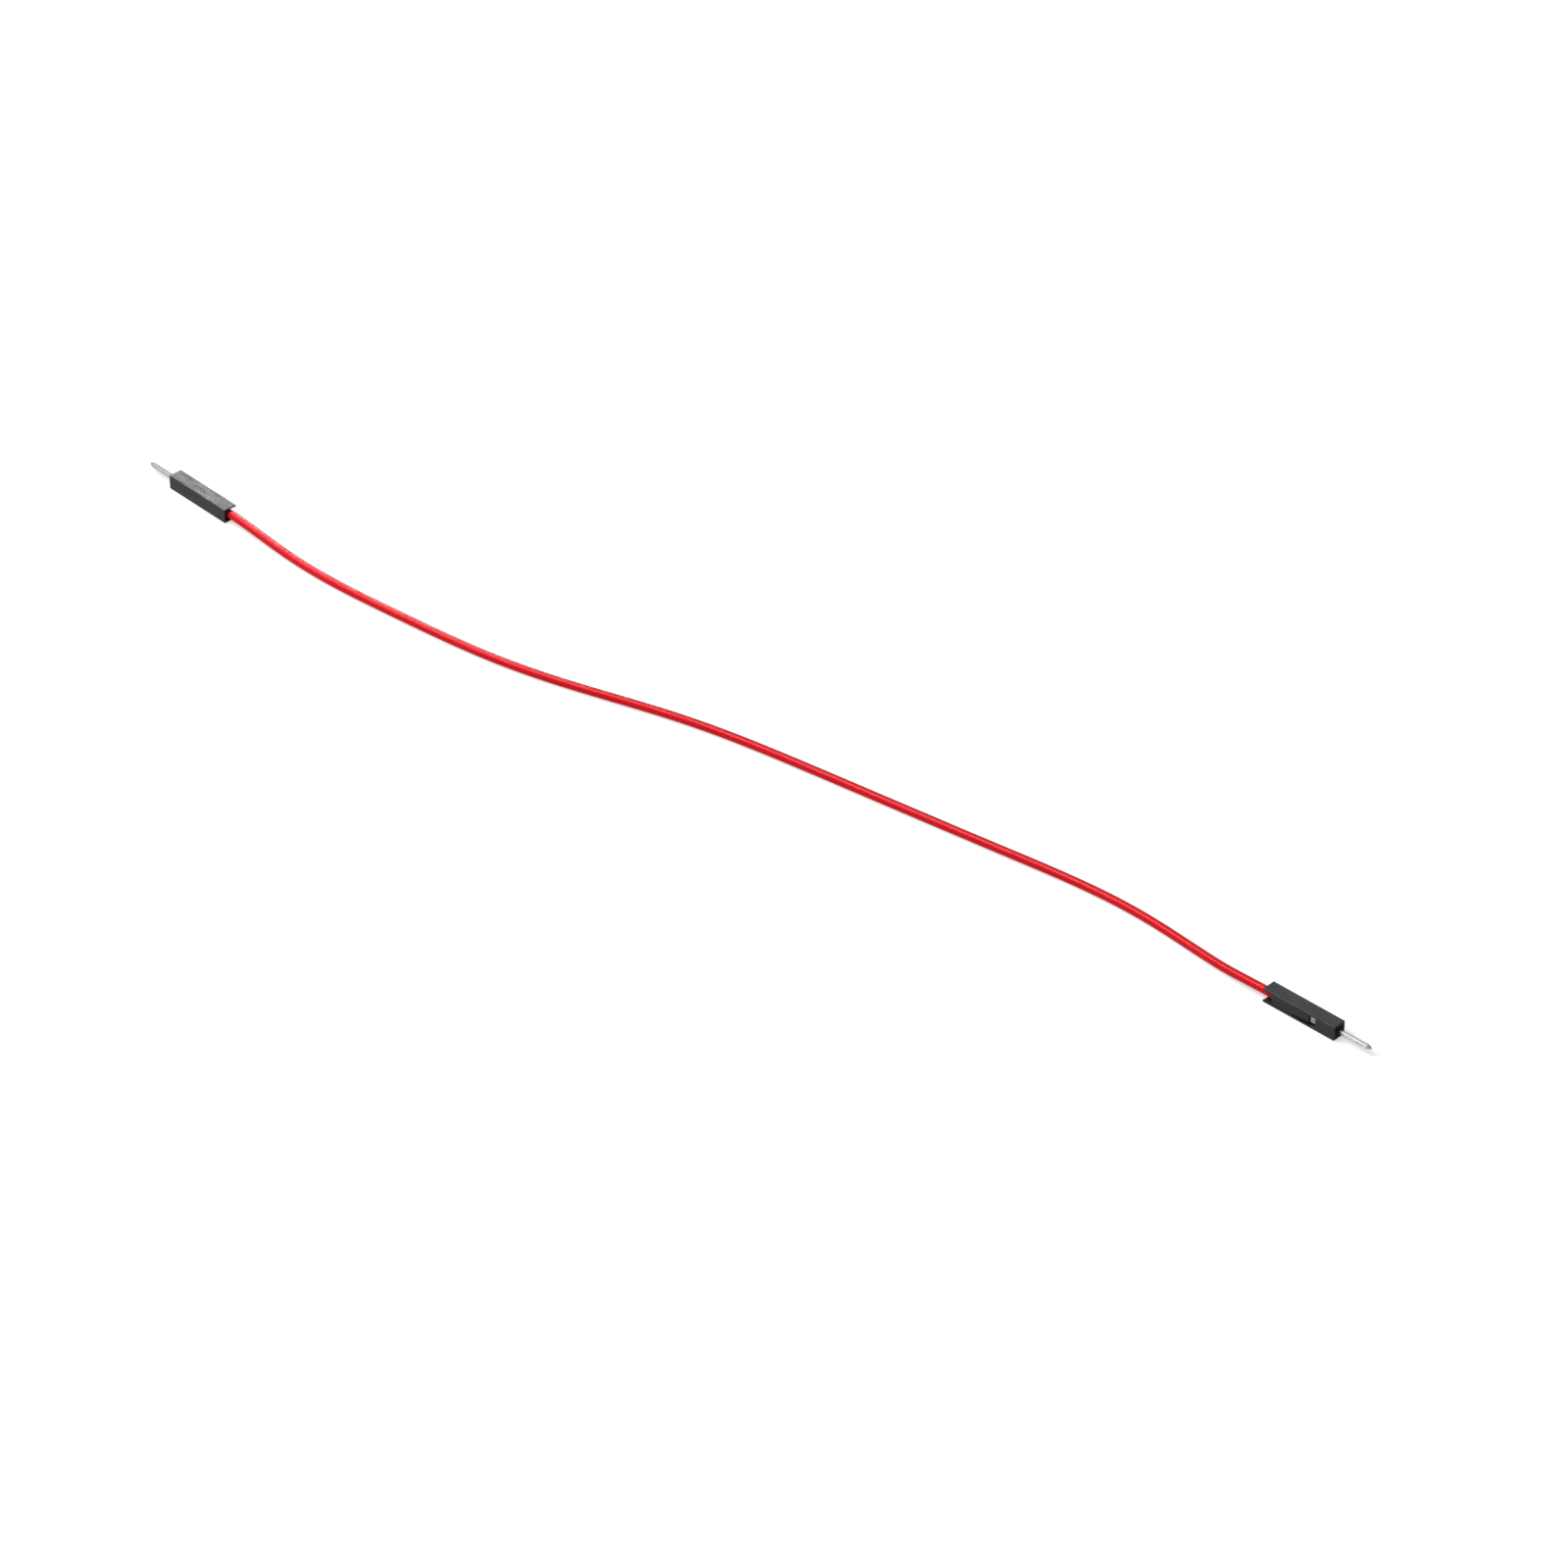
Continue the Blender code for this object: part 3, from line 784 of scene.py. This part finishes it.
# The point's half sizes, and how far each ring is behind the tip.
POINT_TAPER = [(0.63, 0.30), (0.10, 0.175), (0.02, 0.15), (0.0, 0.12)]
NOSE_STEP = 0.06
PLUG_DEPTH = 0.60
CORNER_POINTS = 5
SHEET_EDGE = 0.015
SHEET_SEGMENTS = 2
SHEET_CORNER = math.radians(60.0)
SHEET_CREASE = math.radians(32.0)


def pin_ring(x, half, low, high, corner, seam_depth):
    """Points round a rounded rectangle across X, with the seam's groove in its upper side."""
    middles = [
        (half - corner, low + corner),
        (half - corner, high - corner),
        (corner - half, high - corner),
        (corner - half, low + corner),
    ]
    groove = [
        (PIN_SEAM, 0.0),
        (PIN_SEAM / 3, seam_depth),
        (-PIN_SEAM / 3, seam_depth),
        (-PIN_SEAM, 0.0),
    ]
    ring = []
    for number, (y, z) in enumerate(middles):
        first = 90 * number - 90
        ring += [(x, *point) for point in arc(y, z, corner, first, first + 90, CORNER_POINTS)]
        if number == 1:
            ring += [(x, across, high - depth) for across, depth in groove]
    return ring


def roll_pin():
    """The pin, from the plug that fills the mouth of the box out to its blunt point."""
    nose = PIN_HALF + NOSE_STEP
    plug = (BOX_SIDE, FLOOR, BOX_TOP, BEND_RADIUS, 0.0)
    halfway = [(a + b) / 2 for a, b in zip(plug, (nose, -nose, nose, PIN_CORNER, 0.0))]
    stations = [
        (BOX_START + PLUG_DEPTH, *plug),
        (BOX_START, *plug),
        ((BOX_START + NOSE_TIP) / 2, *halfway),
    ]
    square_rings = [
        (NOSE_TIP, nose, PIN_SEAM_DEPTH),
        (NOSE_TIP - NOSE_STEP, PIN_HALF, PIN_SEAM_DEPTH),
        (POINT_LENGTH + SEAM_CLOSES - PIN_REACH, PIN_HALF, PIN_SEAM_DEPTH),
        (POINT_LENGTH - PIN_REACH, PIN_HALF, 0.0),
    ]
    square_rings += [(behind_tip - PIN_REACH, half, 0.0) for behind_tip, half in POINT_TAPER]
    stations += [(distance, half, -half, half, PIN_CORNER, seam) for distance, half, seam in square_rings]
    return loft("pin", [pin_ring(from_face(distance), *shape) for distance, *shape in stations])


for side, sheet in sheets.items():
    combine(sheet, "UNION", roll_pin())
    ease_edges(sheet, SHEET_EDGE, SHEET_SEGMENTS, SHEET_CORNER)
    shade(sheet, SHEET_CREASE)
    print(side, "terminal has", len(sheet.data.vertices), "points")

# %% [markdown]
# ## Tin plating
# The strip is tinned before it is stamped. Tin is a soft, bright, very slightly warm white metal, and
# rolling leaves faint lines along it. Its gloss changes in patches, where handling and the press tools have
# burnished it. The real rolling lines are a few hundredths of a millimetre apart, and they are drawn at
# about a seventh of a millimetre so that they show. Tin is a metal, so its colour is the colour of its
# reflection and it keeps the default index of refraction.

# %% Make the tin plating
TIN_BRIGHT = "E9E6DF"
TIN_DULL = "CBC8C0"
TIN_GLOSS = (0.14, 0.30)
BURNISH_SIZE = 0.8
ROLLING_LINE = 0.14
ROLLING_STRETCH = 0.05
ROLLING_STRENGTH = 0.25
ROLLING_DEPTH = 0.01

tin_plate, tree, shader = new_material("bright tin plating")
burnish = pattern(tree, BURNISH_SIZE, LIVELY)
rolling_lines = pattern(tree, ROLLING_LINE, SOFT, ROLLING_STRETCH)
feed(tree, shader, {
    "Base Color": blend(tree, burnish, TIN_BRIGHT, TIN_DULL),
    "Metallic": 1.0,
    "Roughness": rescale(tree, burnish, PATTERN_RANGE, TIN_GLOSS),
    "Normal": emboss(tree, rolling_lines, ROLLING_STRENGTH, ROLLING_DEPTH),
})

for side, sheet in sheets.items():
    lay_down(sheet, ends[side])
    hand_over(sheet, "terminal_" + side, tin_plate)

# %% [markdown]
# ## The strands
# Inside the insulation are seven copper strands, six laid round one with a slow twist. They are bare for a
# few millimetres, where the conductor crimp grips them. Each is swept as a thin tube along its own helix.
# The bunch leaves the insulation in its middle and drops into the crimp, which lies lower.

# %% Twist the strands
STRAND_RADIUS = 0.097
STRAND_CIRCLE = 0.20
STRAND_SIDES = 10
STRAND_RINGS = 60
STRIP_GAP = 0.05
LEVEL_BEFORE_CRIMP = 0.10
BRUSH_LENGTH = 0.35
STRANDS_START = INSULATION_END - STRIP_GAP
STRANDS_DOWN = CONDUCTOR_CRIMP_END + LEVEL_BEFORE_CRIMP
STRANDS_END = CONDUCTOR_CRIMP_START - BRUSH_LENGTH


def twist_strands(name):
    """Seven strands side by side in one bunch, made straight and in millimetres."""
    bm = bmesh.new()
    for strand in range(OUTER_STRANDS + 1):
        circle = STRAND_CIRCLE if strand < OUTER_STRANDS else 0.0
        rows = []
        for distance in np.linspace(STRANDS_START, STRANDS_END, STRAND_RINGS):
            share = min((STRANDS_START - distance) / (STRANDS_START - STRANDS_DOWN), 1.0)
            drop = BUNCH_MIDDLE * (3 * share**2 - 2 * share**3)
            angle = 2 * math.pi * (distance / STRAND_LAY + strand / OUTER_STRANDS)
            middle = (circle * math.cos(angle), drop + circle * math.sin(angle))
            round_strand = arc(*middle, STRAND_RADIUS, 0, 360, STRAND_SIDES + 1)[:-1]
            rows.append([bm.verts.new((from_face(distance), y, z)) for y, z in round_strand])
        skin(bm, rows)
    bmesh.ops.recalc_face_normals(bm, faces=bm.faces)
    return add_object(name, bm)


bunches = {side: twist_strands("twisted_strands_" + side) for side in ends}
print("one bunch has", len(bunches["left"].data.polygons), "faces")

# %% [markdown]
# ## Tinned copper
# Each strand is copper with a thin coat of tin, so it is nearly as white as the terminal, with a trace of
# warm copper where the coat is thinnest.

# %% Make the tinned copper
COPPER_TIN = "D9D0C4"
COPPER_WARM = "C9A58A"
COPPER_GLOSS = 0.32
COAT_PATCH = 0.6
COAT_WEARS_THIN = (0.55, 0.75)

tinned_copper, tree, shader = new_material("tinned copper wire")
coat = pattern(tree, COAT_PATCH, LIVELY)
bareness = rescale(tree, coat, COAT_WEARS_THIN, (0.0, 1.0))
feed(tree, shader, {
    "Base Color": blend(tree, bareness, COPPER_TIN, COPPER_WARM),
    "Metallic": 1.0,
    "Roughness": COPPER_GLOSS,
})

for side, bunch in bunches.items():
    shade(bunch, TUBE_CREASE)
    lay_down(bunch, ends[side])
    hand_over(bunch, "strands_" + side, tinned_copper)

# %% [markdown]
# ## The table and the light
# The lead lies on white paper under soft studio light. Paper lit to pure white would need so much light that
# the red would bleach, so the light stays at a plain level, at which a colour comes out as it is written.
# The paper adds the rest by itself, but only where the camera, a reflection or clear plastic looks at it. It
# still takes the shadow, because its own shading is left in. A reflection gets a smaller part of that glow,
# since real paper is no brighter than the lamps make it. Further off, where the lamps fade, the glow grows
# and keeps the sheet one white as far as the eye sees.

# %% Lay the table
TABLE_SIZE = 6.0
PAPER_ALBEDO = 0.52
NEAR_GLOW = 0.56
FAR_GLOW = 1.00
GLOW_GROWS_FROM = 0.16
GLOW_GROWS_TO = 1.00
MIRRORED_GLOW = 0.15


def seen_share(tree, mirrored_share):
    """How much of the white a ray sees: all of it straight or through plastic, less in a reflection."""
    rays = add_node(tree, "ShaderNodeLightPath", {}, {}).outputs
    straight = calculate(tree, "MAXIMUM", rays["Is Camera Ray"], rays["Is Transmission Ray"])
    mirrored = calculate(tree, "MULTIPLY", rays["Is Glossy Ray"], mirrored_share)
    return calculate(tree, "MAXIMUM", mirrored, straight)


bm = bmesh.new()
bmesh.ops.create_grid(bm, x_segments=1, y_segments=1, size=TABLE_SIZE / 2)
table = add_object("table", bm)
paper = bpy.data.materials.new("white paper")
paper.use_nodes = True
tree = paper.node_tree
tree.nodes.clear()
where = add_node(tree, "ShaderNodeNewGeometry", {}, {}).outputs["Position"]
away = add_node(tree, "ShaderNodeVectorMath", {"operation": "LENGTH"}, {0: where}).outputs["Value"]
fade = rescale(tree, away, (GLOW_GROWS_FROM, GLOW_GROWS_TO), (NEAR_GLOW, FAR_GLOW))
glow = calculate(tree, "MULTIPLY", seen_share(tree, MIRRORED_GLOW), fade)
matt = add_node(tree, "ShaderNodeBsdfDiffuse", {}, {"Color": (*[PAPER_ALBEDO] * 3, 1.0)})
shine = add_node(tree, "ShaderNodeEmission", {}, {"Strength": glow})
both = add_node(tree, "ShaderNodeAddShader", {}, {0: matt.outputs[0], 1: shine.outputs[0]})
add_node(tree, "ShaderNodeOutputMaterial", {}, {"Surface": both.outputs[0]})
table.data.materials.append(paper)
print("the table is", TABLE_SIZE, "m wide")

# %% [markdown]
# ## Soft light with an edge
# A plain white world would light the lead evenly and drain it: gloss looks glossy only where something dark
# lies next to something bright. So a reflection sees a pale backdrop near the table and a dim room above it,
# while the camera sees plain white all round.

# %% Surround it with a room
FILL_STRENGTH = 0.26
BACKDROP_SHARE = 0.36
BACKDROP_EDGE = 0.20
BACKDROP_FADE = 0.50

world = bpy.data.worlds.new("studio")
world.use_nodes = True
bpy.context.scene.world = world
tree = world.node_tree
tree.nodes.clear()
direction = add_node(tree, "ShaderNodeTexCoord", {}, {}).outputs["Generated"]
height = add_node(tree, "ShaderNodeSeparateXYZ", {}, {"Vector": direction}).outputs["Z"]
backdrop = rescale(tree, height, (BACKDROP_EDGE, BACKDROP_FADE), (BACKDROP_SHARE, 0.0))
strength = rescale(tree, seen_share(tree, backdrop), (0.0, 1.0), (FILL_STRENGTH, 1.0))
sky = add_node(tree, "ShaderNodeBackground", {}, {"Color": linear("FFFFFF"), "Strength": strength})
add_node(tree, "ShaderNodeOutputWorld", {}, {"Surface": sky.outputs[0]})
print("the room gives", FILL_STRENGTH, "of the white that the camera sees")

# %% [markdown]
# ## Four softboxes
# One large softbox, high at the front left, draws the long highlight down the wire. Behind each housing a
# small one skims its top, which brings out the satin of the nylon. These two are kept to what they are for,
# as black flags would keep them, because a polished pin would mirror them and vanish against the white. The
# left one also reaches the lead, and its honeycomb grid lets it draw a second, fine line on the wire near
# that end only. A weaker and larger one is there for the terminals alone. The pins mirror it as a pale grey
# sheet, so they look like bright metal and still stand out from the paper.

# %% Hang the lamps
HIGH_PLACE = Vector((-0.60, -0.35, 1.15))
TABLE_MIDDLE = Vector((0.0, 0.0, 0.0))
BEHIND = Vector((-0.453, 0.577, 0.678))
LEFT_DISTANCE = 0.25
RIGHT_DISTANCE = 0.60
METAL_DISTANCE = 1.50
NO_GRID = 180.0
HONEYCOMB = 28.0


def add_softbox(name, place, aim, size, spread, power):
    """A square lamp that faces a point. A spread under 180 degrees is a honeycomb grid over its front."""
    lamp_data = bpy.data.lights.new(name, "AREA")
    lamp_data.shape = "SQUARE"
    lamp_data.size = size
    lamp_data.spread = math.radians(spread)
    lamp_data.energy = power
    lamp = bpy.data.objects.new(name, lamp_data)
    lamp.location = place
    lamp.rotation_euler = (place - aim).to_track_quat("Z", "Y").to_euler()
    bpy.context.scene.collection.objects.link(lamp)
    return lamp


def keep_light_to(lamp, pieces):
    """Lets a lamp reach these pieces alone, as black flags round it would."""
    reached = bpy.data.collections.new(lamp.name + "_reaches")
    for piece in pieces:
        reached.objects.link(piece)
    lamp.light_linking.receiver_collection = reached


middles = {side: place @ Vector((HOUSING_LENGTH / 2 * MM, 0.0, 0.0)) for side, place in ends.items()}
left_place = middles["left"] + BEHIND * LEFT_DISTANCE
right_place = middles["right"] + BEHIND * RIGHT_DISTANCE
metal_place = BEHIND * METAL_DISTANCE
# After its place, what each lamp faces, its width in metres, its spread in degrees and its power in watts.
lamp_facts = {
    "high_softbox": (HIGH_PLACE, TABLE_MIDDLE, 1.00, NO_GRID, 18.5),
    "left_softbox": (left_place, middles["left"], 0.083, HONEYCOMB, 0.0155),
    "right_softbox": (right_place, middles["right"], 0.20, NO_GRID, 0.25),
    "metal_softbox": (metal_place, TABLE_MIDDLE, 1.00, NO_GRID, 1.30),
}
softboxes = {name: add_softbox(name, *facts) for name, facts in lamp_facts.items()}
keep_light_to(softboxes["left_softbox"], [housings["left"], lead])
keep_light_to(softboxes["right_softbox"], [housings["right"]])
keep_light_to(softboxes["metal_softbox"], list(sheets.values()))
print("lamps:", ", ".join(softboxes))

# %% [markdown]
# ## Colours as they are written
# The standard view turns the light into screen colours one to one. A filmic view would bend them, grey the
# white of the paper and dull the red.

# %% Set the view
view = bpy.context.scene.view_settings
view.view_transform = "Standard"
print("the view is", view.view_transform)
